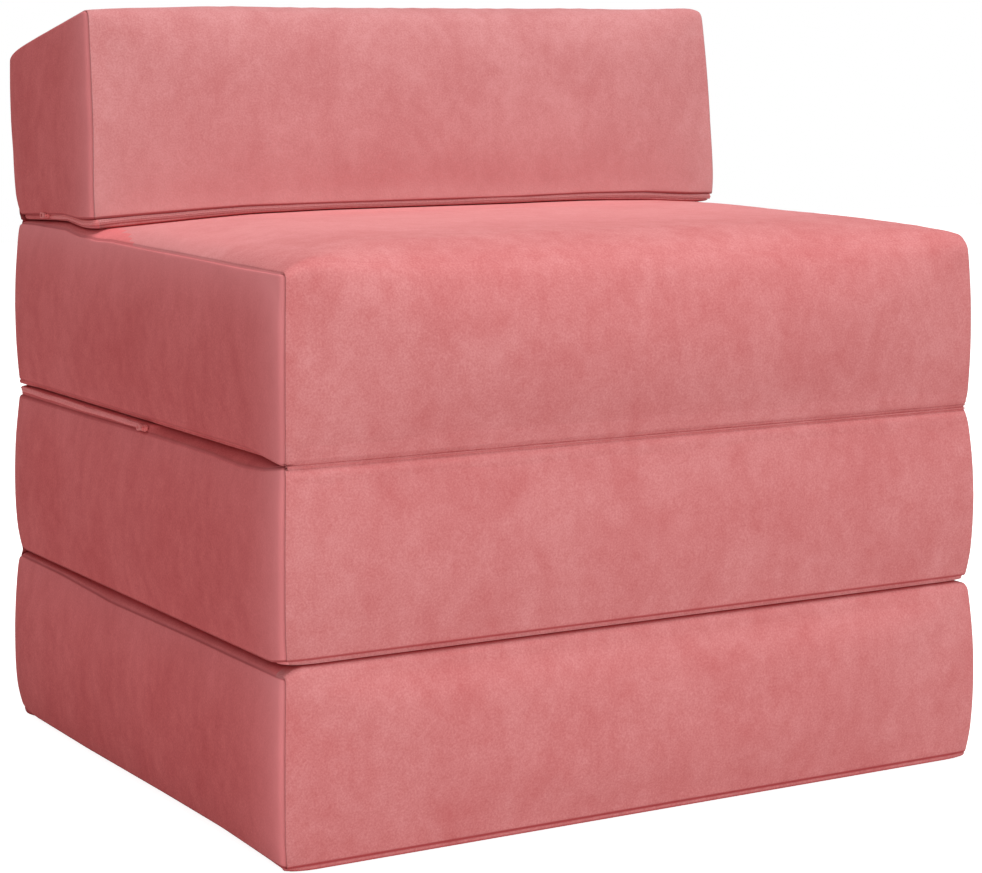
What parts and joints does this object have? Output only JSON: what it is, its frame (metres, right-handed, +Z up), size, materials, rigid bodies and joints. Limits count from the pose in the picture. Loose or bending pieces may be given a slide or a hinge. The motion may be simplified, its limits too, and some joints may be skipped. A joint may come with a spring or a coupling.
{
  "type": "folding sofa bed",
  "caption": "Chair-width folding sofa bed: three stacked foam seat blocks and a wedge backrest in zipped velvet covers that unfold in a Z into a floor bed.",
  "frame": {"origin": "on the floor, at the centre of the base block's underside", "axes": "+X to the right of someone who looks at the front, +Y to the rear, +Z up"},
  "size_m": [0.662, 0.5896, 0.6392],
  "materials": {
    "velvet": "soft polyester velvet with a short mottled nap",
    "zip_tape": "woven tape and nylon coil",
    "zip_metal": "sprayed die-cast zinc, satin",
    "foam": "open-cell polyurethane foam"
  },
  "bodies": {
    "base_block": {"base_foam": "foam", "base_left_panel": "velvet", "base_right_panel": "velvet", "base_wrap_panel": "velvet", "base_rear_panel": "velvet", "base_bottom_panel": "velvet", "base_zip_tape": "zip_tape", "lower_hinge_fabric": "velvet"},
    "base_slider": {"base_zip_slider": "zip_metal"},
    "base_pull": {"base_zip_pull": "zip_metal"},
    "middle_block": {"middle_foam": "foam", "middle_left_panel": "velvet", "middle_right_panel": "velvet", "middle_front_panel": "velvet", "middle_rear_panel": "velvet", "middle_top_panel": "velvet", "middle_bottom_panel": "velvet", "middle_zip_tape": "zip_tape", "front_hinge_fabric": "velvet"},
    "middle_slider": {"middle_zip_slider": "zip_metal"},
    "middle_pull": {"middle_zip_pull": "zip_metal"},
    "seat_block": {"seat_foam": "foam", "seat_left_panel": "velvet", "seat_right_panel": "velvet", "seat_wrap_panel": "velvet", "seat_rear_panel": "velvet", "seat_bottom_panel": "velvet", "seat_zip_tape": "zip_tape", "back_hinge_fabric": "velvet"},
    "seat_slider": {"seat_zip_slider": "zip_metal"},
    "seat_pull": {"seat_zip_pull": "zip_metal"},
    "back_block": {"back_foam": "foam", "back_left_panel": "velvet", "back_right_panel": "velvet", "back_wrap_panel": "velvet", "back_rear_panel": "velvet", "back_bottom_panel": "velvet", "back_zip_tape": "zip_tape"},
    "back_slider": {"back_zip_slider": "zip_metal"},
    "back_pull": {"back_zip_pull": "zip_metal"}
  },
  "joints": [
    {"name": "lower_fold", "type": "hinge", "parent": "base_block", "child": "middle_block", "pos_m": [0, 0.2815, 0.1503], "axis": [-1, 0, 0], "range_deg": [0, 180], "deforming": ["lower_hinge_fabric"]},
    {"name": "front_fold", "type": "hinge", "parent": "middle_block", "child": "seat_block", "pos_m": [0, -0.2835, 0.3009], "axis": [1, 0, 0], "range_deg": [0, 180], "deforming": ["front_hinge_fabric"]},
    {"name": "back_fold", "type": "hinge", "parent": "seat_block", "child": "back_block", "pos_m": [0, 0.2835, 0.45143], "axis": [-1, 0, 0], "range_deg": [0, 166], "deforming": ["back_hinge_fabric"]},
    {"name": "base_zip_run", "type": "slide", "parent": "base_block", "child": "base_slider", "axis": [0, 1, 0], "range_m": [0, 0.27]},
    {"name": "base_pull_swing", "type": "hinge", "parent": "base_slider", "child": "base_pull", "pos_m": [0.3274, -0.0175, 0.00375], "axis": [0, 0, -1], "range_deg": [0, 175]},
    {"name": "middle_zip_run", "type": "slide", "parent": "middle_block", "child": "middle_slider", "axis": [0, 1, 0], "range_m": [0, 0.27]},
    {"name": "middle_pull_swing", "type": "hinge", "parent": "middle_slider", "child": "middle_pull", "pos_m": [-0.3274, -0.0175, 0.29685], "axis": [0, 0, 1], "range_deg": [0, 175]},
    {"name": "seat_zip_run", "type": "slide", "parent": "seat_block", "child": "seat_slider", "axis": [0, 1, 0], "range_m": [0, 0.27]},
    {"name": "seat_pull_swing", "type": "hinge", "parent": "seat_slider", "child": "seat_pull", "pos_m": [0.3274, -0.0175, 0.30495], "axis": [0, 0, -1], "range_deg": [0, 175]},
    {"name": "back_zip_run", "type": "slide", "parent": "back_block", "child": "back_slider", "axis": [0, -0.9988, 0.0489], "range_m": [0, 0.095]},
    {"name": "back_pull_swing", "type": "hinge", "parent": "back_slider", "child": "back_pull", "pos_m": [-0.3254, 0.20877, 0.45897], "axis": [0, 0.0489, 0.9988], "range_deg": [0, 175]}
  ]
}
